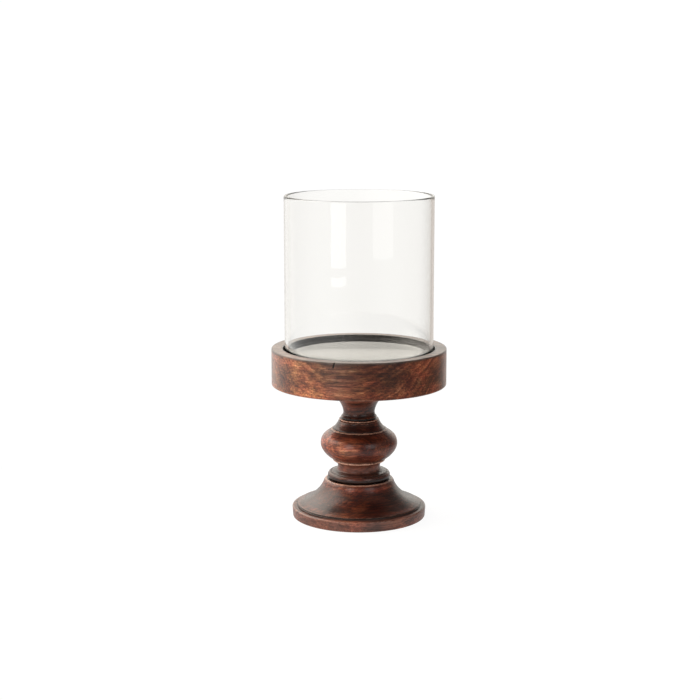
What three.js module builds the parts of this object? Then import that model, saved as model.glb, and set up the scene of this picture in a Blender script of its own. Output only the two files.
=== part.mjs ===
// Pedestal hurricane candle holder: a clear glass cylinder that stands loose in the recess of a
// turned wooden tray, carried by a turned baluster stem on a bell-shaped foot. A threaded rod
// through the bored stem draws the three wooden pieces together.
// Millimetres, +Z up. The origin is the centre of the surface that the felt pad stands on.

import * as THREE from 'three';

// ---- driving dimensions ----

const TOTAL_HEIGHT = 330; // table to glass rim
const GAP = 0.3; // clearance between touching pieces

const FELT_RADIUS = 62;
const FELT_THICKNESS = 1.5;

const PLINTH_RADIUS = 68.7; // widest line, near its top edge
const PLINTH_BOTTOM = 0.4; // the wooden rim stays just clear of the table
const PLINTH_TOP = 10.8;
const BELL_TOP = 39.2;
const BELL_TOP_RADIUS = 33.6;

const TORUS_RADIUS = 32;
const TORUS_HEIGHT = 42.6; // height of its widest line
const LOWER_NECK_RADIUS = 21.7;
const BULB_RADIUS = 39.3;
const BULB_HEIGHT = 76.2; // height of its widest line
const UPPER_NECK_RADIUS = 16;
const UPPER_NECK_HEIGHT = 109.1; // height of its narrowest line
const COLLAR_RADIUS = 34.6; // top of the flared neck, under the tray

const TRAY_RADIUS = 89;
const TRAY_BOTTOM = 138.2;
const TRAY_TOP = 175.5;
const RECESS_RADIUS = 77.2;
const RECESS_FLOOR = 163.5;

const GLASS_RADIUS = 75.5;
const GLASS_WALL = 3;
const GLASS_FLOOR = 8.2;
const HEEL_RADIUS = 13; // outer bottom corner of the glass, rounded to just above the tray's rim
const FILLET_RADIUS = 4.5; // inner bottom corner of the glass

const TENON_RADIUS = 15;
const TENON_LENGTH = 9.5;
const MORTISE_DEPTH = 10;
const BORE_RADIUS = 4.6; // clearance hole for the rod

const ROD_RADIUS = 4;
const ROD_BOTTOM = 4.5;
const INSERT_RADIUS = 6.3;
const INSERT_LENGTH = 10;
const WASHER_RADIUS = 12;
const WASHER_THICKNESS = 2;
const NUT_FLATS = 13; // across flats
const NUT_HEIGHT = 6.5;
const COUNTERBORE_RADIUS = 13.5;
const COUNTERBORE_TOP = 15.5;

const SEGMENTS = 40; // around the large turned pieces
const SMALL_SEGMENTS = 20; // around the hardware
const CURVE_STEPS = 4; // points on each curved stretch of an outline

// ---- materials ----

const glass = new THREE.MeshStandardMaterial({
  color: 0xf4f7f4, roughness: 0.03, metalness: 0, transparent: true, opacity: 0.35,
});
const trayWood = new THREE.MeshStandardMaterial({ color: 0x6b4030, roughness: 0.42, metalness: 0 });
const stemWood = new THREE.MeshStandardMaterial({ color: 0x5a3024, roughness: 0.4, metalness: 0 });
const baseWood = new THREE.MeshStandardMaterial({ color: 0x613629, roughness: 0.42, metalness: 0 });
const felt = new THREE.MeshStandardMaterial({ color: 0x1d1b1a, roughness: 0.95, metalness: 0 });
const zincSteel = new THREE.MeshStandardMaterial({ color: 0xb4b6b8, roughness: 0.35, metalness: 1 });
const brass = new THREE.MeshStandardMaterial({ color: 0xb08a45, roughness: 0.35, metalness: 1 });

// ---- helpers ----

const holder = new THREE.Group();

function addPiece(name, geometry, material) {
  const mesh = new THREE.Mesh(geometry, material);
  mesh.name = name;
  holder.add(mesh);
  return mesh;
}

// Outlines are drawn as (radius, height) and turned about the Z axis.
function turn(outline, segments) {
  const geometry = new THREE.LatheGeometry(outline.getPoints(CURVE_STEPS), segments);
  return geometry.rotateX(Math.PI / 2);
}

// A ring of rectangular section, such as a washer or an insert.
function ring(inner, outer, bottom, top) {
  const outline = new THREE.Path()
    .moveTo(inner, bottom)
    .lineTo(outer, bottom)
    .lineTo(outer, top)
    .lineTo(inner, top)
    .lineTo(inner, bottom);
  return turn(outline, SMALL_SEGMENTS);
}

// ---- turned wood ----

// Foot: plinth, quirk and hollow-sided bell. It is mortised on top; underneath it has a shallow
// rebate for the felt pad and a counterbore for the nut.
function baseOutline() {
  const rebate = FELT_RADIUS + GAP;
  const rebateTop = FELT_THICKNESS + GAP;
  const mortise = TENON_RADIUS + GAP;
  return new THREE.Path()
    .moveTo(COUNTERBORE_RADIUS, rebateTop)
    .lineTo(rebate, rebateTop)
    .lineTo(rebate, PLINTH_BOTTOM)
    .lineTo(PLINTH_RADIUS - 1.3, PLINTH_BOTTOM)
    .lineTo(PLINTH_RADIUS - 0.5, PLINTH_BOTTOM + 0.8)
    .lineTo(PLINTH_RADIUS, PLINTH_TOP - 1.6)
    .quadraticCurveTo(PLINTH_RADIUS, PLINTH_TOP, PLINTH_RADIUS - 1.8, PLINTH_TOP + 0.2)
    .lineTo(65, PLINTH_TOP + 0.4)
    .lineTo(63.2, 11.5)
    .lineTo(62.9, 12.3)
    .bezierCurveTo(57.4, 14.1, 42.5, 21.3, 36.6, 34.8)
    .quadraticCurveTo(35.8, 37.8, BELL_TOP_RADIUS, BELL_TOP)
    .lineTo(mortise, BELL_TOP)
    .lineTo(mortise, BELL_TOP - MORTISE_DEPTH)
    .lineTo(BORE_RADIUS, BELL_TOP - MORTISE_DEPTH)
    .lineTo(BORE_RADIUS, COUNTERBORE_TOP)
    .lineTo(COUNTERBORE_RADIUS, COUNTERBORE_TOP)
    .lineTo(COUNTERBORE_RADIUS, rebateTop);
}

// Baluster, from its bottom tenon up to its top one.
function stemOutline() {
  const shoulder = BELL_TOP + GAP;
  const top = TRAY_BOTTOM - GAP;
  return new THREE.Path()
    .moveTo(BORE_RADIUS, shoulder - TENON_LENGTH)
    .lineTo(TENON_RADIUS, shoulder - TENON_LENGTH)
    .lineTo(TENON_RADIUS, shoulder)
    .lineTo(30.2, shoulder)
    .quadraticCurveTo(TORUS_RADIUS, 40.4, TORUS_RADIUS, TORUS_HEIGHT)
    .quadraticCurveTo(TORUS_RADIUS, 45.3, 29.3, 46.3)
    .lineTo(28.2, 47.1)
    .quadraticCurveTo(21.6, 47.5, LOWER_NECK_RADIUS, 52)
    .quadraticCurveTo(LOWER_NECK_RADIUS, 55.4, 23.9, 57.7)
    .lineTo(26.3, 58)
    .lineTo(26.9, 58.6)
    .lineTo(26.9, 59.5)
    .lineTo(26.3, 60.1)
    .bezierCurveTo(29, 60.4, BULB_RADIUS, 68.2, BULB_RADIUS, BULB_HEIGHT)
    .bezierCurveTo(BULB_RADIUS, 86.6, 31, 88, 28.2, 91.2)
    .lineTo(27.4, 91.5)
    .bezierCurveTo(26.5, 92.7, 22.2, 96.3, 20.9, 100.4)
    .lineTo(19.8, 100.7)
    .quadraticCurveTo(20.7, 101.5, 19.6, 102.2)
    .lineTo(18.2, 102.6)
    .lineTo(18.5, 103.6)
    .bezierCurveTo(17.5, 104.6, UPPER_NECK_RADIUS, 106.2, UPPER_NECK_RADIUS, UPPER_NECK_HEIGHT)
    .bezierCurveTo(UPPER_NECK_RADIUS, 111.6, 18.7, 125.1, COLLAR_RADIUS - 1.1, 130)
    .quadraticCurveTo(COLLAR_RADIUS, 130.4, COLLAR_RADIUS, 131.6)
    .lineTo(COLLAR_RADIUS, top)
    .lineTo(TENON_RADIUS, top)
    .lineTo(TENON_RADIUS, top + TENON_LENGTH)
    .lineTo(BORE_RADIUS, top + TENON_LENGTH)
    .lineTo(BORE_RADIUS, shoulder - TENON_LENGTH);
}

// Dish with a flat-floored recess; the mortise and the blind hole for the insert are underneath.
function trayOutline() {
  const mortise = TENON_RADIUS + GAP;
  const mortiseTop = TRAY_BOTTOM + MORTISE_DEPTH;
  const insertHole = INSERT_RADIUS + GAP;
  const insertTop = mortiseTop + INSERT_LENGTH + 2 * GAP;
  return new THREE.Path()
    .moveTo(0, insertTop)
    .lineTo(insertHole, insertTop)
    .lineTo(insertHole, mortiseTop)
    .lineTo(mortise, mortiseTop)
    .lineTo(mortise, TRAY_BOTTOM)
    .lineTo(TRAY_RADIUS - 1.6, TRAY_BOTTOM)
    .quadraticCurveTo(TRAY_RADIUS, TRAY_BOTTOM, TRAY_RADIUS, TRAY_BOTTOM + 1.6)
    .lineTo(TRAY_RADIUS, TRAY_TOP - 0.8)
    .lineTo(TRAY_RADIUS - 0.8, TRAY_TOP)
    .lineTo(RECESS_RADIUS + 0.7, TRAY_TOP)
    .lineTo(RECESS_RADIUS, TRAY_TOP - 0.7)
    .lineTo(RECESS_RADIUS, RECESS_FLOOR + 1)
    .lineTo(RECESS_RADIUS - 1, RECESS_FLOOR)
    .lineTo(0, RECESS_FLOOR);
}

// ---- glass ----

// Straight cylinder with a thick flat floor, a well-rounded heel and a rounded, fire-polished rim.
function glassOutline() {
  const bottom = RECESS_FLOOR + GAP;
  const floor = bottom + GLASS_FLOOR;
  const inner = GLASS_RADIUS - GLASS_WALL;
  const lip = GLASS_WALL / 2;
  return new THREE.Path()
    .moveTo(0, bottom)
    .lineTo(GLASS_RADIUS - HEEL_RADIUS, bottom)
    .absarc(GLASS_RADIUS - HEEL_RADIUS, bottom + HEEL_RADIUS, HEEL_RADIUS, -Math.PI / 2, 0)
    .lineTo(GLASS_RADIUS, TOTAL_HEIGHT - lip)
    .absarc(GLASS_RADIUS - lip, TOTAL_HEIGHT - lip, lip, 0, Math.PI)
    .lineTo(inner, floor + FILLET_RADIUS)
    .absarc(inner - FILLET_RADIUS, floor + FILLET_RADIUS, FILLET_RADIUS, 0, -Math.PI / 2, true)
    .lineTo(0, floor);
}

// ---- hardware ----

function rodOutline(top) {
  const chamfer = 0.8;
  return new THREE.Path()
    .moveTo(0, ROD_BOTTOM)
    .lineTo(ROD_RADIUS - chamfer, ROD_BOTTOM)
    .lineTo(ROD_RADIUS, ROD_BOTTOM + chamfer)
    .lineTo(ROD_RADIUS, top - chamfer)
    .lineTo(ROD_RADIUS - chamfer, top)
    .lineTo(0, top);
}

function hexNut(top) {
  const corner = NUT_FLATS / Math.sqrt(3);
  const outline = new THREE.Shape();
  for (let side = 0; side < 6; side += 1) {
    const angle = (side * Math.PI) / 3;
    const x = corner * Math.cos(angle);
    const y = corner * Math.sin(angle);
    if (side === 0) {
      outline.moveTo(x, y);
    } else {
      outline.lineTo(x, y);
    }
  }
  outline.closePath();
  outline.holes.push(new THREE.Path().absarc(0, 0, ROD_RADIUS + GAP, 0, 2 * Math.PI, true));
  const geometry = new THREE.ExtrudeGeometry(outline, {
    depth: NUT_HEIGHT, bevelEnabled: false, curveSegments: SMALL_SEGMENTS,
  });
  return geometry.translate(0, 0, top - NUT_HEIGHT);
}

function feltPad() {
  const geometry = new THREE.CylinderGeometry(FELT_RADIUS, FELT_RADIUS, FELT_THICKNESS, SEGMENTS);
  return geometry.rotateX(Math.PI / 2).translate(0, 0, FELT_THICKNESS / 2);
}

// ---- assembly ----

const washerTop = COUNTERBORE_TOP - GAP;
const nutTop = washerTop - WASHER_THICKNESS - GAP;
const insertBottom = TRAY_BOTTOM + MORTISE_DEPTH + GAP;
const threadBore = ROD_RADIUS + GAP;

addPiece('glass_hurricane', turn(glassOutline(), SEGMENTS), glass);
addPiece('tray', turn(trayOutline(), SEGMENTS), trayWood);
addPiece('stem', turn(stemOutline(), SEGMENTS), stemWood);
addPiece('base', turn(baseOutline(), SEGMENTS), baseWood);
addPiece(
  'threaded_insert',
  ring(threadBore, INSERT_RADIUS, insertBottom, insertBottom + INSERT_LENGTH),
  brass,
);
addPiece('tie_rod', turn(rodOutline(insertBottom + INSERT_LENGTH - 1), SMALL_SEGMENTS), zincSteel);
addPiece(
  'base_washer',
  ring(threadBore, WASHER_RADIUS, washerTop - WASHER_THICKNESS, washerTop),
  zincSteel,
);
addPiece('base_nut', hexNut(nutTop), zincSteel);
addPiece('felt_pad', feltPad(), felt);

export default holder;
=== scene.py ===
"""Looks of the pedestal hurricane candle holder: turned wood, clear glass and hidden hardware."""

import math

import bpy
import numpy as np
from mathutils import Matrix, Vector


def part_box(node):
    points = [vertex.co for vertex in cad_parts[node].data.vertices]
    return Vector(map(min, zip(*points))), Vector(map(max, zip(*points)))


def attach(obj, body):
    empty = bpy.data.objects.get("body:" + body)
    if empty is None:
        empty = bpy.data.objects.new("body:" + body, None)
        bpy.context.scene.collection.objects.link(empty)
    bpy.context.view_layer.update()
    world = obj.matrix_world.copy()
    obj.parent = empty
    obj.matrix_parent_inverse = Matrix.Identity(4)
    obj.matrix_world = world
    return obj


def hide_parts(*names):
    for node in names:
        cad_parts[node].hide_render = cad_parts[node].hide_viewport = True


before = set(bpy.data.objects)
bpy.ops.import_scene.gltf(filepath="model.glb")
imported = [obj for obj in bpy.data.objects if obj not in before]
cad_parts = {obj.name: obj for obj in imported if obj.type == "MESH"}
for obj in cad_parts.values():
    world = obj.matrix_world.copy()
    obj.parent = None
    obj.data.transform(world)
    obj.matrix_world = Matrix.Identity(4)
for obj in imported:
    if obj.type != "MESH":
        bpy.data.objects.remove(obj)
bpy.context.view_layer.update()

# All lengths below are in millimetres unless a comment says otherwise; MM turns them into metres.
MM = 0.001
FIT = 0.3  # gap between touching pieces
BORE_RADIUS = 4.6  # hole through the stem and the foot for the rod
TENON_RADIUS = 15  # round ends of the stem, which stand in the tray and the foot
GROOVE_REACH = 1.6  # how far a point looks along the outline for fine grooves and crests
COVE_REACH = 9.0  # the same for broad hollows and bulges


# ---- outlines of turned pieces ----


class Outline:
    """A turned piece's outline, as (radius, height) points that run anticlockwise round its section."""

    def __init__(self, radius, height):
        self.points = [np.array((radius, height), float)]

    def line(self, *ends):
        for end in ends:
            self.points.append(np.array(end, float))
        return self

    def curve(self, *controls, steps=24):
        """A Bezier curve from the last point, of any degree."""
        start = [self.points[-1], *(np.array(c, float) for c in controls)]
        for t in np.linspace(0, 1, steps + 1)[1:]:
            row = start
            while len(row) > 1:
                row = [a + (b - a) * t for a, b in zip(row, row[1:])]
            self.points.append(row[0])
        return self

    def arc(self, centre, radius, start, end, steps=24):
        """A circular arc, with its angles in degrees."""
        for a in np.radians(np.linspace(start, end, steps + 1)[1:]):
            self.points.append(np.array(centre, float) + radius * np.array((math.cos(a), math.sin(a))))
        return self


def ease_corners(points, radius, closed, sharpest=18.0, share=0.42, steps=5):
    """Rounds each corner that turns by more than sharpest degrees, as sanding does.

    The rounding takes up no more than the given share of the lines beside the corner.
    """
    count = len(points)
    eased = []
    for i, point in enumerate(points):
        if not closed and i in (0, count - 1):
            eased.append(point)
            continue
        back, ahead = points[i - 1] - point, points[(i + 1) % count] - point
        back_length, ahead_length = np.linalg.norm(back), np.linalg.norm(ahead)
        back, ahead = back / back_length, ahead / ahead_length
        turn = math.pi - math.acos(max(-1.0, min(1.0, float(back @ ahead))))
        if math.degrees(turn) < sharpest:
            eased.append(point)
            continue
        reach = min(radius * math.tan(turn / 2), share * back_length, share * ahead_length)
        first, last = point + back * reach, point + ahead * reach
        for t in np.linspace(0, 1, steps + 1):
            eased.append(first * (1 - t) ** 2 + point * 2 * t * (1 - t) + last * t**2)
    return eased


def subdivide(points, longest, closed):
    """Adds points so that no step is longer than longest."""
    ring = points + points[:1] if closed else points
    fine = []
    for a, b in zip(ring, ring[1:]):
        count = max(1, math.ceil(np.linalg.norm(b - a) / longest))
        fine += [a + (b - a) * k / count for k in range(count)]
    if not closed:
        fine.append(ring[-1])
    return np.array(fine)


def hollowness(points, closed, reach):
    """How far the outline near each point stands in front of it, as a share of reach.

    Near means within reach along the outline. It is above 0 in a hollow and below 0 on a crest.
    """
    steps = np.linalg.norm(np.diff(points, axis=0, append=points[:1]), axis=1)
    along = np.concatenate(([0], np.cumsum(steps)))
    length = along[-1] if closed else along[-2]
    along = along[:-1]
    tangent = np.roll(points, -1, axis=0) - np.roll(points, 1, axis=0)
    tangent /= np.maximum(np.linalg.norm(tangent, axis=1, keepdims=True), 1e-9)
    outward = np.stack((tangent[:, 1], -tangent[:, 0]), axis=1)
    found = np.zeros(len(points))
    for offset in (-reach, -reach / 2, reach / 2, reach):
        place = along + offset
        place = place % length if closed else np.clip(place, 0, length)
        near = np.stack([np.interp(place, along, points[:, k], period=length if closed else None)
                         for k in (0, 1)], axis=1)
        found += ((near - points) * outward).sum(axis=1) / 4
    return found / reach


def mesh_piece(name, vertices, faces):
    mesh = bpy.data.meshes.new(name)
    mesh.from_pydata(vertices, [], faces)
    mesh.shade_smooth()
    piece = bpy.data.objects.new(name, mesh)
    bpy.context.scene.collection.objects.link(piece)
    return piece


def ring_points(radius, angles, height):
    """A ring of vertices about Z, in metres. radius and height are one number, or one for each angle."""
    heights = height + np.zeros(len(angles))
    return list(zip(radius * np.cos(angles) * MM, radius * np.sin(angles) * MM, heights * MM))


def bridge(a, b, count):
    """Faces between two rings of count vertices that start at vertices a and b."""
    return [(a + k, a + (k + 1) % count, b + (k + 1) % count, b + k) for k in range(count)]


def turned(name, outline, angles, ease=0.35, longest=1.2, closed=False, shape=None):
    """A mesh turned about Z. shape gives a ring's radial change from its radius, height and angles."""
    points = subdivide(ease_corners(outline.points, ease, closed), longest, closed)
    segments = len(angles)
    vertices, rings, copies = [], [], []
    for radius, height in points:
        rings.append(len(vertices))
        copies.append(1 if radius < 1e-6 else segments)
        if copies[-1] == 1:
            vertices.append((0.0, 0.0, height * MM))
            continue
        around = radius + (shape(radius, height, angles) if shape else np.zeros(segments))
        vertices += ring_points(around, angles, height)
    faces = []
    pairs = list(zip(range(len(points)), range(1, len(points))))
    if closed:
        pairs.append((len(points) - 1, 0))
    for i, j in pairs:
        low, high = rings[i], rings[j]
        if copies[i] == 1:
            faces += [(low, high + (k + 1) % segments, high + k) for k in range(segments)]
        elif copies[j] == 1:
            faces += [(low + k, low + (k + 1) % segments, high) for k in range(segments)]
        else:
            faces += bridge(low, high, segments)
    piece = mesh_piece(name, vertices, faces)
    for attribute, reach in (("groove", GROOVE_REACH), ("cove", COVE_REACH)):
        values = np.repeat(hollowness(points, closed, reach), copies).astype(np.float32)
        piece.data.attributes.new(attribute, "FLOAT", "POINT").data.foreach_set("value", values)
    return piece


def even_angles(segments):
    return np.arange(segments) * (2 * math.pi / segments)


def hand_turned(seed, wobble=0.10, ridges=0.018, pitch=1.9):
    """Small departures from a true round: a slow wobble, and the faint ridges that a gouge leaves."""
    rng = np.random.default_rng(seed)
    phases = rng.uniform(0, 2 * math.pi, (3, 2))
    twist = 0.03  # radians of a wave's phase per mm of height, at most
    full = 20  # radius from which the departures have their full size

    def shape(radius, height, angles):
        change = np.zeros_like(angles)
        for k, (a, b) in enumerate(phases):  # two, three and four waves round the piece
            change += wobble / (k + 1.5) * np.sin((k + 2) * angles + a + twist * height * math.sin(b))
        path = height + radius
        change += ridges * np.sin(2 * math.pi * path / pitch + 0.8 * np.sin(angles + phases[0, 1]))
        return change * min(1.0, radius / full)

    return shape


# ---- node materials ----


class Nodes:
    """Short calls for building the node tree of a material or a world."""

    def __init__(self, owner, shader="Principled BSDF"):
        owner.use_nodes = True
        self.tree = owner.node_tree
        self.shader = self.tree.nodes[shader]

    def node(self, kind, **settings):
        made = self.tree.nodes.new(kind)
        for key, value in settings.items():
            setattr(made, key, value)
        return made

    def feed(self, socket, value):
        if isinstance(value, bpy.types.NodeSocket):
            self.tree.links.new(value, socket)
        else:
            socket.default_value = value

    def math(self, operation, a, b=0.0, clamp=False):
        made = self.node("ShaderNodeMath", operation=operation, use_clamp=clamp)
        self.feed(made.inputs[0], a)
        self.feed(made.inputs[1], b)
        return made.outputs[0]

    def vector(self, operation, a, b=(0, 0, 0), scale=None):
        made = self.node("ShaderNodeVectorMath", operation=operation)
        self.feed(made.inputs[0], a)
        self.feed(made.inputs[1], b)
        if scale is not None:
            made.inputs["Scale"].default_value = scale
        return made.outputs["Value" if operation in ("LENGTH", "DOT_PRODUCT") else "Vector"]

    def place_mm(self):
        """The point's place in the frame, in millimetres."""
        return self.vector("SCALE", self.node("ShaderNodeTexCoord").outputs["Object"], scale=1 / MM)

    def mapped(self, place, location=(0, 0, 0), rotation=(0, 0, 0), scale=(1, 1, 1)):
        made = self.node("ShaderNodeMapping")
        self.feed(made.inputs["Vector"], place)
        made.inputs["Location"].default_value = location
        made.inputs["Rotation"].default_value = [math.radians(a) for a in rotation]
        made.inputs["Scale"].default_value = scale
        return made.outputs[0]

    def noise(self, place, scale, detail=3.0, roughness=0.5, distortion=0.0):
        made = self.node("ShaderNodeTexNoise")
        self.feed(made.inputs["Vector"], place)
        made.inputs["Scale"].default_value = scale
        made.inputs["Detail"].default_value = detail
        made.inputs["Roughness"].default_value = roughness
        made.inputs["Distortion"].default_value = distortion
        return made.outputs["Fac"]

    def noise_colour(self, place, scale, detail):
        return self.noise(place, scale, detail).node.outputs["Color"]

    def split(self, vector, axis):
        made = self.node("ShaderNodeSeparateXYZ")
        self.feed(made.inputs[0], vector)
        return made.outputs[axis]

    def near_segment(self, place, start, end, near, far):
        """1 within near mm of the segment, falling to 0 at far, with a ragged edge."""
        run = Vector(end) - Vector(start)
        offset = self.vector("SUBTRACT", place, start)
        share = self.vector("DOT_PRODUCT", offset, run)
        share = self.math("DIVIDE", share, run.length_squared, clamp=True)
        along = self.node("ShaderNodeVectorMath", operation="SCALE")
        along.inputs[0].default_value = run
        self.feed(along.inputs["Scale"], share)
        distance = self.vector("LENGTH", self.vector("SUBTRACT", offset, along.outputs[0]))
        ragged = self.math("MULTIPLY", self.math("SUBTRACT", self.noise(place, 1.3), 0.5), 0.9)
        return self.range(self.math("ADD", distance, ragged), near, far, 1.0, 0.0)

    def ramp(self, value, *stops):
        """stops are (position, colour or grey)."""
        made = self.node("ShaderNodeValToRGB")
        elements = made.color_ramp.elements
        while len(elements) < len(stops):
            elements.new(1.0)
        for element, (position, colour) in zip(elements, stops):
            element.position = position
            if not hasattr(colour, "__len__"):
                colour = (colour,) * 3
            element.color = (*colour, 1.0)
        self.feed(made.inputs["Fac"], value)
        return made.outputs["Color"]

    def range(self, value, low, high, to_low=0.0, to_high=1.0):
        """Goes smoothly from to_low to to_high as value goes from low to high."""
        made = self.node("ShaderNodeMapRange", interpolation_type="SMOOTHSTEP")
        self.feed(made.inputs["Value"], value)
        made.inputs["From Min"].default_value = low
        made.inputs["From Max"].default_value = high
        made.inputs["To Min"].default_value = to_low
        made.inputs["To Max"].default_value = to_high
        return made.outputs["Result"]

    def blend(self, share, a, b, mode="MIX"):
        made = self.node("ShaderNodeMix", data_type="RGBA", blend_type=mode)
        self.feed(made.inputs[0], share)
        self.feed(made.inputs[6], a if isinstance(a, bpy.types.NodeSocket) else (*a, 1.0))
        self.feed(made.inputs[7], b if isinstance(b, bpy.types.NodeSocket) else (*b, 1.0))
        return made.outputs[2]

    def weighted(self, *terms):
        """The sum of (value, weight) terms."""
        total = None
        for value, weight in terms:
            term = self.math("MULTIPLY", value, weight)
            total = term if total is None else self.math("ADD", total, term)
        return total

    def product(self, *values):
        total = values[0]
        for value in values[1:]:
            total = self.math("MULTIPLY", total, value)
        return total

    def attribute(self, name):
        return self.node("ShaderNodeAttribute", attribute_name=name).outputs["Fac"]

    def bump(self, height, strength, distance, socket="Normal"):
        made = self.node("ShaderNodeBump")
        self.feed(made.inputs["Height"], height)
        made.inputs["Strength"].default_value = strength
        made.inputs["Distance"].default_value = distance
        self.feed(self.shader.inputs[socket], made.outputs[0])


# ---- materials ----

DARK_STAIN = (  # from the darkest grain to the lightest, before a piece's tint
    (0.015, 0.0045, 0.0022),
    (0.048, 0.014, 0.007),
    (0.106, 0.036, 0.017),
    (0.200, 0.090, 0.052),
)
GRAIN_LEVELS = (0.39, 0.47, 0.53, 0.62)  # grain values at which those four colours are reached
BLACK_PORE = (0.008, 0.004, 0.003)
# near black for grooves: gathered stain, and painted shade
GROOVE_STAIN_AND_SHADE = (0.004, 0.0025, 0.002)
BLACK_CRACK = (0.004, 0.003, 0.003)
GLAZE_AND_SHADE = (0.009, 0.006, 0.005)  # near black, dark glaze together with painted shade: on and under the torus, on the bell, in the quirk and at the tray's outer edge
RECESS_SHADE_GREY = (0.150, 0.146, 0.141)  # flat dark grey inside the recess: painted shade
RED_PAINTED_LIGHT = (0.210, 0.062, 0.034)  # reddish and lighter: painted light on the necks
RIM_PAINTED_REFLECTION = (0.36, 0.25, 0.20)  # light grey: a painted reflection of the bright room on the tray's flat rim
PLINTH_PINK = (0.300, 0.150, 0.115)  # a lighter pinkish colour on the plinth
BARE_AND_HIGHLIGHT = (0.56, 0.31, 0.22)  # light wood colour: wood that the finish has worn off, and painted highlight lines on edges
WIDE = 200  # a radius outside every piece, for bands that have no outer edge


def wood(name, fibres, pith, seed, tint, rubbed, bands=(), patches=(), crack=None):
    """Stained, lacquered hardwood, solid all through.

    fibres: degrees that turn the frame so that its X runs along the fibres.
    pith: the middle of the growth rings in that frame.
    seed: a shift of the grain, so that no two pieces share it.
    tint: what the stain's colours are multiplied by.
    rubbed: what the colour is multiplied by where a shape stands out.
    bands: each a bottom, a top, an inner radius, an outer radius, a colour, and how fully it covers.
    patches: each a centre, a reach, and what the colour is multiplied by there. Most are painted light,
    shade and highlights; some are blotches of tone.
    crack: its start and end, and the distances from it at which its darkness starts to fade and is gone.
    """
    material = bpy.data.materials.new(name)
    n = Nodes(material)
    place = n.place_mm()
    grain = n.mapped(place, location=seed, rotation=fibres)

    def grain_noise(squeeze, scale, **kind):
        """Noise that is stretched along the fibres, the more so the smaller squeeze is."""
        return n.noise(n.mapped(grain, scale=(squeeze, 1, 1)), scale, **kind)

    # Growth rings: distance from a slightly bent pith, drawn out along the fibres.
    slow = n.mapped(grain, scale=(0.3, 1, 1))
    bend = n.vector("SUBTRACT", n.noise_colour(slow, 0.03, 2.0), (0.5, 0.5, 0.5))
    bend = n.vector("SCALE", bend, scale=16.0)
    across = n.vector("ADD", n.vector("SUBTRACT", grain, pith), bend)
    across = n.vector("MULTIPLY", across, (0, 1, 1))
    rings = n.node("ShaderNodeCombineXYZ")
    n.feed(rings.inputs["X"], n.vector("LENGTH", across))
    n.feed(rings.inputs["Y"], n.math("MULTIPLY", n.split(grain, "X"), 0.012))
    growth = n.noise(rings.outputs[0], 0.34, detail=6.0, roughness=0.62)

    figure = grain_noise(0.35, 0.075, detail=5.0, roughness=0.62, distortion=0.5)
    streak = grain_noise(0.022, 0.55, detail=5.0, roughness=0.72)
    fleck = grain_noise(0.30, 0.75, detail=4.0, roughness=0.8)
    fibre = grain_noise(0.05, 3.4, detail=2.0, roughness=0.6)
    pores = n.range(grain_noise(0.12, 1.7, detail=1.0), 0.62, 0.70)
    blotch = grain_noise(0.5, 0.03, detail=3.0, roughness=0.55)
    redness = grain_noise(0.4, 0.11, detail=3.0, roughness=0.6)
    # The turning tool's fine rings lie level on every piece.
    tool_marks = n.noise(n.mapped(place, scale=(0.035, 0.035, 1)), 1.1, detail=4.0, roughness=0.7)

    tone = n.weighted((growth, 0.28), (figure, 0.22), (streak, 0.36), (fleck, 0.14))
    stain = [[part * more for part, more in zip(colour, tint)] for colour in DARK_STAIN]
    colour = n.ramp(tone, *zip(GRAIN_LEVELS, stain))
    for value, low_stop, high_stop in (
        (redness, (0.38, (1.05, 0.88, 0.94)), (0.62, (0.98, 1.05, 1.0))),
        (blotch, (0.36, 0.50), (0.64, 1.40)),
        (fibre, (0.30, 0.62), (0.70, 1.30)),
        (tool_marks, (0.36, 0.58), (0.64, 1.42)),
    ):
        colour = n.blend(1.0, colour, n.ramp(value, low_stop, high_stop), "MULTIPLY")
    colour = n.blend(n.math("MULTIPLY", pores, 0.8), colour, BLACK_PORE)

    for centre, reach, factor in patches:
        away = n.vector("LENGTH", n.vector("SUBTRACT", place, centre))
        # The grain's figure makes the patch's outline ragged.
        ragged = n.math("MULTIPLY", n.math("SUBTRACT", figure, 0.5), 1.2 * reach)
        share = n.range(n.math("ADD", away, ragged), 0.45 * reach, reach, 1.0, 0.0)
        colour = n.blend(share, colour, n.blend(1.0, colour, factor, "MULTIPLY"))

    # Coves are darkened and grooves turned near black, as stain gathered there and as painted shade;
    # bulges are lightened where stain is rubbed off.
    cove = n.range(n.attribute("cove"), -0.2, 0.1)
    colour = n.blend(1.0, colour, n.ramp(cove, (0.0, rubbed), (0.62, 0.90), (0.90, 0.42)), "MULTIPLY")
    groove = n.attribute("groove")
    colour = n.blend(n.range(groove, 0.02, 0.18, 0.0, 0.94), colour, GROOVE_STAIN_AND_SHADE)
    # Crests are lightened towards bare wood, as wear and as painted highlight on the edges.
    crest = n.range(n.math("MULTIPLY", groove, -1.0), 0.12, 0.26)
    wear_and_highlight = n.math("MULTIPLY", crest, n.range(fleck, 0.40, 0.62))
    colour = n.blend(n.math("MULTIPLY", wear_and_highlight, 0.30), colour, BARE_AND_HIGHLIGHT)

    mottle = n.ramp(tone, (0.44, 0.55), (0.56, 1.45))
    level = n.split(place, "Z")
    radius = n.vector("LENGTH", n.vector("MULTIPLY", place, (1, 1, 0)))
    edge = 0.6  # half the width over which a band fades towards its inner and outer radius
    for bottom, top, inner, outer, paint, share in bands:
        soft = min(1.5, (top - bottom) / 3)  # the same towards its bottom and top
        inside = n.product(
            n.range(level, bottom - soft, bottom + soft),
            n.range(level, top - soft, top + soft, 1, 0),
            n.range(radius, inner - edge, inner + edge),
            n.range(radius, outer - edge, outer + edge, share, 0),
        )
        if paint == BARE_AND_HIGHLIGHT:
            inside = n.math("MULTIPLY", inside, n.range(fleck, 0.34, 0.56))
        colour = n.blend(inside, colour, n.blend(1.0, mottle, paint, "MULTIPLY"))

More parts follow.
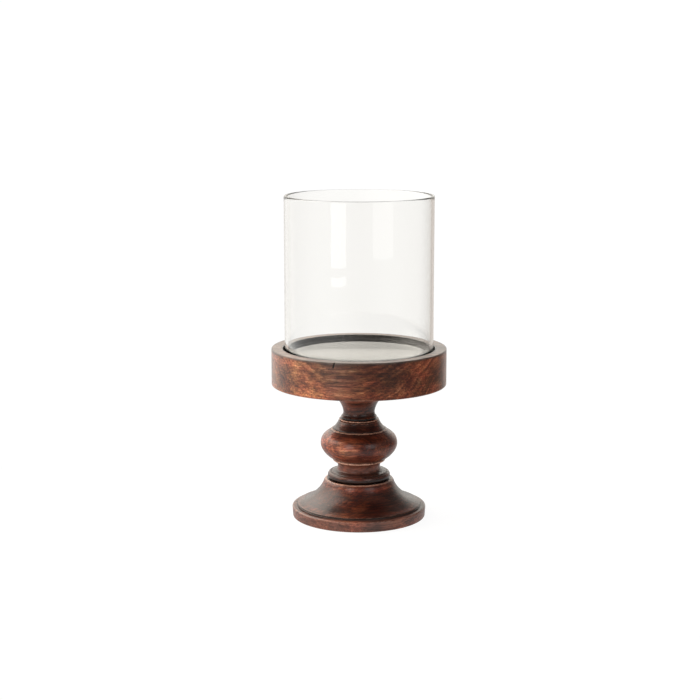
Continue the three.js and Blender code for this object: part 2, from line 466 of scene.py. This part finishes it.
    rough = n.range(fibre, 0.30, 0.70, 0.34, 0.48)
    rough = n.math("ADD", rough, n.math("MULTIPLY", pores, 0.18))
    rough = n.math("ADD", rough, n.range(groove, 0.0, 0.15, 0.0, 0.3))
    height = n.math("SUBTRACT", n.math("MULTIPLY", fibre, 0.35), pores)
    height = n.math("ADD", height, n.math("MULTIPLY", streak, 0.45))
    if crack:
        split = n.near_segment(place, *crack)
        colour = n.blend(split, colour, BLACK_CRACK)
        rough = n.math("ADD", rough, n.math("MULTIPLY", split, 0.4))
        height = n.math("SUBTRACT", height, n.math("MULTIPLY", split, 3.0))
    n.feed(n.shader.inputs["Base Color"], colour)
    n.feed(n.shader.inputs["Roughness"], rough)
    n.shader.inputs["IOR"].default_value = 1.41
    n.shader.inputs["Coat Weight"].default_value = 0.6
    n.shader.inputs["Coat Roughness"].default_value = 0.15
    n.bump(height, 0.4, 0.12 * MM)
    lacquer = grain_noise(0.6, 0.30, detail=4.0, roughness=0.6)
    n.bump(lacquer, 0.5, 0.6 * MM, "Coat Normal")
    return material


def clear_glass():
    material = bpy.data.materials.new("clear_glass")
    n = Nodes(material)
    n.shader.inputs["Base Color"].default_value = (1.0, 0.998, 0.992, 1)
    n.shader.inputs["Transmission Weight"].default_value = 1.0
    n.shader.inputs["Roughness"].default_value = 0.0
    n.shader.inputs["IOR"].default_value = 1.48
    tint = n.node("ShaderNodeVolumeAbsorption")
    tint.inputs["Color"].default_value = (0.62, 0.64, 0.60, 1)
    tint.inputs["Density"].default_value = 7.0  # per metre
    n.feed(n.tree.nodes["Material Output"].inputs["Volume"], tint.outputs[0])
    return material


def pressed_felt():
    material = bpy.data.materials.new("pressed_felt")
    n = Nodes(material)
    place = n.place_mm()
    tufts = n.noise(place, 1.4, detail=5.0, roughness=0.7, distortion=1.2)
    combed = n.mapped(place, rotation=(0, 0, 37), scale=(0.25, 2.2, 1))
    hairs = n.noise(combed, 2.0, detail=3.0, distortion=2.0)
    mixed = n.math("MULTIPLY", n.math("ADD", tufts, hairs), 0.5)
    shade = n.ramp(mixed, (0.3, (0.012, 0.010, 0.009)), (0.7, (0.055, 0.047, 0.042)))
    n.feed(n.shader.inputs["Base Color"], shade)
    n.shader.inputs["Roughness"].default_value = 0.96
    n.shader.inputs["Sheen Weight"].default_value = 0.5
    n.shader.inputs["Sheen Roughness"].default_value = 0.6
    n.bump(mixed, 0.8, 0.4 * MM)
    return material


def plated_metal(name, colour, roughness):
    """Machined metal under a thin plating: fine turning marks, a little staining."""
    material = bpy.data.materials.new(name)
    n = Nodes(material)
    place = n.place_mm()
    marks = n.noise(n.mapped(place, scale=(0.2, 0.2, 3.0)), 2.5, detail=3.0)
    stain = n.noise(place, 0.25, detail=4.0, roughness=0.6)
    darker = [c * 0.72 for c in colour]
    n.feed(n.shader.inputs["Base Color"], n.ramp(stain, (0.35, darker), (0.65, colour)))
    n.shader.inputs["Metallic"].default_value = 1.0
    n.feed(n.shader.inputs["Roughness"], n.range(marks, 0.3, 0.7, roughness - 0.08, roughness + 0.12))
    n.bump(marks, 0.25, 0.05 * MM)
    return material


# ---- turned pieces ----


def size_mm(node):
    """Radius, lowest and highest point of a round CAD node."""
    low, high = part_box(node)
    return high.x / MM, low.z / MM, high.z / MM


def make_tray():
    """The tray, and the place of the small crack that runs down from its front edge."""
    radius, low, high = size_mm("tray")
    glass_radius, glass_low, _ = size_mm("glass_hurricane")
    insert_radius, insert_low, insert_high = size_mm("threaded_insert")
    tenon = TENON_RADIUS + FIT
    mortise = insert_low - FIT
    hole = insert_radius + FIT
    play = 1.7  # between the glass and the side of the recess
    recess = glass_radius + play
    floor = glass_low - FIT
    chamfer = 0.6
    outline = Outline(0, insert_high + FIT).line(
        (hole, insert_high + FIT), (hole, mortise), (tenon, mortise), (tenon, low),
        (radius, low), (radius, high), (recess + chamfer, high), (recess, high - chamfer),
        (recess, floor), (0, floor),
    )
    notch = math.radians(254.2)
    notch_depth, notch_length = 1.3, 4.6
    notch_width, notch_slant = 0.0058, 0.0035  # radians, and radians per mm downwards
    close_to_notch = notch + np.linspace(-0.03, 0.03, 31)
    angles = np.sort(np.concatenate((even_angles(360), close_to_notch)))
    by_hand = hand_turned(11, wobble=0.12)

    def shape(r, z, around):
        change = by_hand(r, z, around)
        if r > recess + 6 and z > high - 6:  # round the outer top edge
            middle = notch - notch_slant * (high - z)
            depth = notch_depth * max(0.0, 1 - (high - z) / notch_length)
            change = change - depth * np.exp(-((around - middle) / notch_width) ** 2)
        return change

    tray = turned("wooden_tray", outline, angles, ease=1.1, longest=1.3, shape=shape)
    x, y = radius * math.cos(notch), radius * math.sin(notch)
    start = (x * 0.985, y * 0.985, high)  # on top of the rim, just inside its edge
    end = (x - 1.3, y + 0.4, high - notch_length)
    return tray, (start, end, 0.5, 1.25)


def make_stem():
    """The baluster: from its bottom tenon up the outside to the top one, and back down the bore."""
    bulb, low, high = size_mm("stem")
    shoulder = size_mm("base")[2] + FIT
    under_tray = size_mm("tray")[1] - FIT
    bore, tenon = BORE_RADIUS, TENON_RADIUS
    torus, lower_neck, waist, collar = 32, 21.7, 16, 34.6
    outline = Outline(bore, low).line((tenon, low), (tenon, shoulder), (29.2, shoulder), (30.4, 40.1))
    # torus and lower neck
    outline.curve((torus, 40.6), (torus, 42.6)).curve((torus, 45.4), (29.7, 46.5), steps=16)
    outline.line((28.9, 46.0), (28.2, 47.1)).curve((21.8, 47.3), (21.6, 48.2), (lower_neck, 52))
    outline.curve((lower_neck, 55.4), (23.9, 57.7))
    # thin lip, bulb and ogee
    outline.line((26.3, 58.0), (26.9, 58.6), (26.9, 59.5), (26.3, 60.1))
    outline.curve((29, 60.4), (bulb, 68.2), (bulb, 76.2))
    outline.curve((bulb, 86.6), (31, 88), (28.5, 91.1))
    outline.line((26.3, 91.8)).curve((25.7, 93.4), (22.2, 96.3), (20.9, 100.0))
    # bead, quirk and flared neck
    outline.line((19.4, 100.5)).curve((20.9, 101.3), (19.7, 102.1), steps=10)
    outline.line((17.2, 102.5), (17.2, 103.9), (18.3, 104.4))
    outline.curve((17.3, 105.2), (waist, 106.6), (waist, 109.1))
    outline.curve((waist, 111.6), (18.7, 125.1), (collar - 1.1, 130))
    outline.curve((collar, 130.4), (collar, 131.6))
    outline.line((collar, under_tray), (tenon, under_tray), (tenon, high), (bore, high))
    return turned("wooden_stem", outline, even_angles(192), ease=0.4, longest=1.6, closed=True,
                  shape=hand_turned(23, wobble=0.08))


def make_base():
    """The foot: felt rebate, plinth, quirk, bell, mortise for the stem, and well for the nut."""
    radius, low, high = size_mm("base")
    felt_radius, _, felt_high = size_mm("felt_pad")
    washer_radius, _, washer_high = size_mm("base_washer")
    room, mortise_depth = 1.5, 10  # the room is between the washer and the side of the well
    rebate, rebate_top = felt_radius + FIT, felt_high + FIT
    well, well_top = washer_radius + room, washer_high + FIT
    bore, tenon, mortise = BORE_RADIUS, TENON_RADIUS + FIT, high - mortise_depth
    outline = Outline(well, rebate_top)
    outline.line((rebate, rebate_top), (rebate, low), (radius - 0.6, low), (radius, 9.2))
    outline.curve((radius, 10.8), (66.9, 11.0), steps=10)
    outline.line((62.9, 11.2), (61.9, 12.2), (63.1, 13.0))
    outline.curve((62.7, 13.9), (61.2, 14.1), steps=8).curve((54.5, 16.1), (42.2, 22.5), (36.6, 34.8))
    outline.curve((35.8, 38.0), (34.6, high - 0.1), (33.2, high), steps=12)
    outline.line((tenon, high), (tenon, mortise), (bore, mortise), (bore, well_top), (well, well_top))
    return turned("wooden_base", outline, even_angles(288), ease=0.5, longest=1.2, closed=True,
                  shape=hand_turned(37, wobble=0.12))


def make_glass():
    """An open-topped cylinder: slightly hollow underside, rounded foot and fire-polished rim."""
    radius, low, high = size_mm("glass_hurricane")
    wall, thick, heel, fillet, punt = 3.0, 8.2, 13.0, 4.5, 0.6
    inner, floor, lip = radius - wall, low + thick, wall / 2
    outline = Outline(0, low + punt)
    outline.curve((34, low + punt), (radius - heel - 4, low), (radius - heel, low))
    outline.arc((radius - heel, low + heel), heel, -90, 0).line((radius, high - lip))
    outline.arc((radius - lip, high - lip), lip, 0, 180, steps=16).line((inner, floor + fillet))
    outline.arc((inner - fillet, floor + fillet), fillet, 0, -90).line((0, floor))
    return turned("glass_cylinder", outline, even_angles(224), longest=3.0,
                  shape=hand_turned(5, wobble=0.05, ridges=0.0))


def make_felt():
    radius, low, high = size_mm("felt_pad")
    outline = Outline(0, low).line((radius, low), (radius, high), (0, high))
    return turned("felt_foot_pad", outline, even_angles(192), ease=0.5, longest=1.5,
                  shape=hand_turned(41, wobble=0.15, ridges=0.05, pitch=0.9))


# ---- hardware ----


def threaded(name, radius, bottom, top, pitch, depth, segments=40, bore=0.0, chamfer=0.8):
    """A right-handed screw thread on a rod, or on a sleeve when bore is above 0."""
    rows_per_turn = 8
    steps = max(2, round((top - bottom) / pitch * rows_per_turn))
    heights = np.linspace(bottom, top, steps + 1)
    angles = even_angles(segments)
    vertices, faces = [], []
    for z in heights:
        turn = ((z - bottom) / pitch - angles / (2 * math.pi)) % 1.0
        tooth = np.clip(np.abs(turn * 2 - 1) * 1.35 - 0.12, 0, 1)  # 0 at the root, 1 at the crest
        around = radius - depth * (1 - tooth)
        # At both ends the thread is chamfered to a little below its root.
        end = min(1.0, min(z - bottom, top - z) / chamfer)
        around = np.minimum(around, radius - depth * 1.2 * (1 - end))
        vertices += ring_points(around, angles, z)
    for i in range(steps):
        faces += bridge(i * segments, (i + 1) * segments, segments)
    last = steps * segments
    after = last + segments
    if bore:
        for z in (bottom, top):
            vertices += ring_points(bore, angles, z)
        faces += bridge(after, 0, segments)
        faces += bridge(last, after + segments, segments)
        faces += bridge(after + segments, after, segments)
    else:
        vertices += [(0, 0, bottom * MM), (0, 0, top * MM)]
        faces += [(after, (k + 1) % segments, k) for k in range(segments)]
        faces += [(after + 1, last + k, last + (k + 1) % segments) for k in range(segments)]
    return mesh_piece(name, vertices, faces)


def make_rod():
    return threaded("tie_rod_thread", *size_mm("tie_rod"), pitch=1.25, depth=0.65)


def make_insert(bore):
    size = size_mm("threaded_insert")
    return threaded("insert_nut", *size, pitch=2.5, depth=1.0, segments=72, bore=bore)


def make_nut(bore):
    """A hexagon nut with two corners along X. Its corners are turned off at 30 degrees at both ends."""
    low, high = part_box("base_nut")
    apothem = high.y / MM
    bottom, top = low.z / MM, high.z / MM
    chamfer = 0.5
    angles = even_angles(144)
    across = apothem / np.cos(angles % (math.pi / 3) - math.pi / 6)
    face = apothem - 0.2
    cut = np.maximum(0, (across - face) * math.tan(math.radians(30)))
    rings = (
        (bore + chamfer, bottom), (face, bottom), (across, bottom + cut), (across, top - cut),
        (face, top), (bore + chamfer, top), (bore, top - chamfer), (bore, bottom + chamfer),
    )
    count = len(angles)
    vertices, faces = [], []
    for i, (radius, height) in enumerate(rings):
        vertices += ring_points(radius, angles, height)
        faces += bridge(i * count, (i + 1) % len(rings) * count, count)
    nut = mesh_piece("hexagon_nut", vertices, faces)
    nut.data.set_sharp_from_angle(angle=math.radians(25))
    return nut


def make_washer(bore):
    radius, low, high = size_mm("base_washer")
    outline = Outline(bore, low).line((radius, low), (radius, high), (bore, high))
    return turned("flat_washer", outline, even_angles(128), ease=0.3, longest=1.5, closed=True)


# ---- studio ----


def make_world():
    """White for the camera, warm white straight through the glass, and a room for all other light.

    The room has a bright window high at the left, a pale wall behind, and a ground that is paler at the
    left. Elsewhere it is dim. Colours above 1 are brighter than white paper.
    """
    world = bpy.data.worlds.new("studio")
    n = Nodes(world, "Background")
    window_direction, wall_direction = (-0.76, 0.42, 0.50), (-0.30, 0.95, 0.0)
    toward = n.node("ShaderNodeTexCoord").outputs["Generated"]
    height = n.split(toward, "Z")
    window = n.range(n.vector("DOT_PRODUCT", toward, window_direction), 0.55, 0.97)
    window = n.math("MULTIPLY", window, n.range(height, 0.0, 0.30))
    behind = n.range(n.vector("DOT_PRODUCT", toward, wall_direction), 0.25, 0.80)
    behind = n.math("MULTIPLY", behind, n.range(height, 0.22, 0.55, 1.0, 0.0))
    side = n.range(n.split(toward, "X"), -0.9, 0.4)
    ground = n.blend(side, (0.85, 0.84, 0.82), (0.13, 0.10, 0.08))
    room = n.blend(n.range(height, -0.05, 0.05), ground, (0.13, 0.125, 0.12))
    room = n.blend(window, room, (3.0, 2.85, 2.6))
    low_wall = n.blend(side, (1.10, 1.10, 1.08), (0.74, 0.68, 0.63))
    wall = n.blend(n.range(height, -0.04, 0.12), low_wall, (1.33, 1.28, 1.18))
    light = n.blend(behind, room, wall)
    ray = n.node("ShaderNodeLightPath").outputs
    bounces = n.math("ADD", ray["Glossy Depth"], ray["Diffuse Depth"])
    unbounced = n.math("LESS_THAN", bounces, 0.5)
    through_glass = n.math("MULTIPLY", ray["Is Transmission Ray"], unbounced)
    seen = n.blend(through_glass, light, (1.046, 1.040, 1.022))
    backdrop = n.blend(ray["Is Camera Ray"], seen, (1.02, 1.02, 1.02))
    n.feed(n.shader.inputs["Color"], backdrop)
    bpy.context.scene.world = world
    bpy.context.scene.view_settings.view_transform = "Standard"


def make_floor():
    """A round table top of white acrylic, lit from below as well, so it shows hardly any shadow."""
    edge = ring_points(450, even_angles(96), 0)
    floor = mesh_piece("floor", edge, [range(len(edge))])
    material = bpy.data.materials.new("white_acrylic")
    n = Nodes(material)
    n.shader.inputs["Base Color"].default_value = (0.15, 0.15, 0.15, 1)
    n.shader.inputs["Roughness"].default_value = 0.6
    n.shader.inputs["Specular IOR Level"].default_value = 0.0
    n.shader.inputs["Emission Color"].default_value = (1, 1, 1, 1)
    ray = n.node("ShaderNodeLightPath").outputs
    bounces = n.math("ADD", ray["Glossy Depth"], ray["Diffuse Depth"])
    n.feed(n.shader.inputs["Emission Strength"], n.range(bounces, 0.0, 1.0, 0.93, 0.42))
    floor.data.materials.append(material)


def make_softbox(name, around, distance, bottom, width, height, radiance, colour=(1, 1, 1),
                 mirrored=True):
    """An upright softbox that faces the axis, around degrees to the right of the camera.

    Its sizes are in metres. Only a mirrored one shows in reflections.
    """
    light = bpy.data.lights.new(name, "AREA")
    light.shape = "RECTANGLE"
    light.size, light.size_y = width, height
    light.energy = radiance * math.pi * width * height
    light.color = colour
    lamp = bpy.data.objects.new(name, light)
    turn = math.radians(around)
    lamp.location = (distance * math.sin(turn), -distance * math.cos(turn), bottom + height / 2)
    lamp.rotation_euler = (math.radians(90), 0, turn)
    lamp.visible_camera = False
    lamp.visible_transmission = False
    lamp.visible_glossy = mirrored
    bpy.context.scene.collection.objects.link(lamp)


def make_camera():
    """The photo's camera, as fitted to the photo. Its place is in metres."""
    camera = bpy.data.cameras.new("camera")
    camera.lens = 82.69
    camera.sensor_width = 36.0
    down = 10.372  # degrees below level
    holder = bpy.data.objects.new("camera", camera)
    holder.location = (-0.0092, -1.6088, 0.4671)
    holder.rotation_euler = (math.radians(90 - down), 0, 0)
    bpy.context.scene.collection.objects.link(holder)
    bpy.context.scene.camera = holder


# ---- assembly ----

make_camera()
make_world()
make_floor()
make_softbox("left_window", around=-31, distance=1.25, bottom=0.112, width=0.50, height=0.82,
             radiance=2.1)
make_softbox("left_sill", around=-31, distance=1.25, bottom=0.080, width=0.50, height=0.016,
             radiance=2.1)
make_softbox("right_window", around=35, distance=1.25, bottom=0.125, width=0.70, height=0.82,
             radiance=1.1)
make_softbox("left_fill", around=-70, distance=1.3, bottom=-0.10, width=0.70, height=0.70,
             radiance=7.5, colour=(1, 0.96, 0.90), mirrored=False)
make_softbox("right_fill", around=60, distance=1.3, bottom=-0.10, width=0.70, height=0.70,
             radiance=1.8, colour=(1, 0.90, 0.80), mirrored=False)

tray, tray_crack = make_tray()
tray_wood = wood(
    "tray_wood", fibres=(0, 0, 9), pith=(0, 40, 60), seed=(0, 0, 0),
    tint=(2.0, 1.95, 1.75), rubbed=0.95,
    bands=(
        (174.4, 178, 79.0, WIDE, RIM_PAINTED_REFLECTION, 0.55),  # top of the rim: painted reflection
        (160, 178, 0, 78.3, RECESS_SHADE_GREY, 1.0),  # recess, and the inner edge of the rim: painted shade
        (173.4, 178, 87.9, WIDE, GLAZE_AND_SHADE, 0.7),  # outer edge of the rim, darkened: glaze and painted shade
    ),
    # painted light: a pool of light on the tray's left front, lighter at the front right, and greyish
    # painted sheen at the front, far left and right
    patches=(
        ((-70, -60, 148), 62, (1.9, 1.95, 1.65)),
        ((-20, -86, 168), 30, (1.3, 1.45, 1.6)),
        ((34, -84, 157), 40, (1.3, 1.15, 1.15)),
        ((76, -46, 160), 44, (1.65, 1.5, 1.5)),
        ((-88, -14, 160), 34, (1.35, 1.45, 1.5)),
    ),
    crack=tray_crack,
)
# The stem's grain is laid across it, because the marks on the photo's bulb run round it.
stem_wood = wood(
    "stem_wood", fibres=(0, 6, 14), pith=(0, 30, 60), seed=(300, 0, 0),
    tint=(2.0, 1.4, 1.2), rubbed=1.1,
    bands=(
        (38, 44.2, 0, WIDE, GLAZE_AND_SHADE, 0.9),  # lower part of the torus, darkened: glaze and painted shade
        (44.6, 48.0, 0, WIDE, GLAZE_AND_SHADE, 0.62),  # top of the torus, darkened: glaze and painted shade
        (48.2, 58.4, 0, WIDE, RED_PAINTED_LIGHT, 0.55),  # lower neck: painted light, lighter and redder
        (122, 131, 0, WIDE, RED_PAINTED_LIGHT, 0.85),  # flare of the upper neck: painted light bounced up from the floor
        (58.2, 59.8, 0, WIDE, BARE_AND_HIGHLIGHT, 0.85),  # lip under the bulb: painted highlight line, with wear
        (90.8, 91.6, 0, WIDE, BARE_AND_HIGHLIGHT, 0.8),  # edge between the bulb and the ogee: painted highlight line, with wear
        (100.9, 101.9, 0, WIDE, BARE_AND_HIGHLIGHT, 0.85),  # bead: painted highlight line, with wear
    ),
    # painted light on the bulb: shade on its top front under the tray, a bright painted highlight left
    # of centre, light on its left side, and a darker, greyer lower front
    patches=(
        ((0, -32, 90), 25, (0.62, 0.42, 0.34)),
        ((-12, -37, 80), 16, (2.1, 3.1, 3.5)),
        ((-36, -18, 78), 24, (1.4, 1.5, 1.5)),
        ((0, -34, 66), 22, (0.8, 0.85, 1.0)),
    ),
)
base_wood = wood(
    "base_wood", fibres=(0, 0, -24), pith=(0, -35, -70), seed=(600, 0, 0),
    tint=(1.8, 1.35, 1.1), rubbed=1.0,
    bands=(
        (12.5, 30, 0, 63.3, GLAZE_AND_SHADE, 0.2),  # lower bell, darkened slightly: glaze and painted shade
        (34.5, 38.4, 0, WIDE, GLAZE_AND_SHADE, 0.25),  # top of the bell, darkened: painted shade under the torus, with glaze
        (38.4, 40, 0, 32.7, GLAZE_AND_SHADE, 0.9),  # under the torus: painted shade
        (38.4, 39.6, 33.0, WIDE, BARE_AND_HIGHLIGHT, 0.85),  # upper edge of the bell: painted highlight line, with wear
        (10.8, 13.3, 0, 64.6, GLAZE_AND_SHADE, 0.85),  # quirk: painted shade in the groove, with glaze
        (-2, 11.4, 60, WIDE, PLINTH_PINK, 0.3),  # plinth
    ),
    patches=(
        # painted shade on the bell's front, and a painted highlight on its left
        ((14, -40, 32), 26, (0.8, 0.5, 0.4)),
        ((-10, -46, 26), 20, (1.55, 1.35, 1.2)),
        # darker and lighter blotches of tone low on the bell and on the plinth
        ((12, -60, 16), 20, (0.7, 0.55, 0.5)),
        ((14, -68, 5), 12, (0.5, 0.42, 0.4)),
        ((-24, -64, 6), 10, (0.55, 0.5, 0.5)),
        ((-4, -68, 5), 9, (1.7, 1.6, 1.6)),
        ((40, -56, 6), 12, (1.5, 1.5, 1.5)),
    ),
)
zinc = plated_metal("zinc_plated_steel", (0.66, 0.67, 0.69), 0.32)
brass = plated_metal("machined_brass", (0.72, 0.52, 0.24), 0.30)
rod_hole = size_mm("tie_rod")[0] + FIT

for piece, node, body, slot, material in (
    (make_glass(), "glass_hurricane", "glass", "glass", clear_glass()),
    (tray, "tray", "stand", "wood_tray", tray_wood),
    (make_stem(), "stem", "stand", "wood_stem", stem_wood),
    (make_base(), "base", "stand", "wood_base", base_wood),
    (make_felt(), "felt_pad", "stand", "felt", pressed_felt()),
    (make_rod(), "tie_rod", "stand", "zinc_steel", zinc),
    (make_insert(rod_hole), "threaded_insert", "stand", "brass", brass),
    (make_washer(rod_hole), "base_washer", "stand", "zinc_steel", zinc),
    (make_nut(rod_hole), "base_nut", "stand", "zinc_steel", zinc),
):
    piece.data.materials.append(material)
    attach(piece, body)
    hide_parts(node)
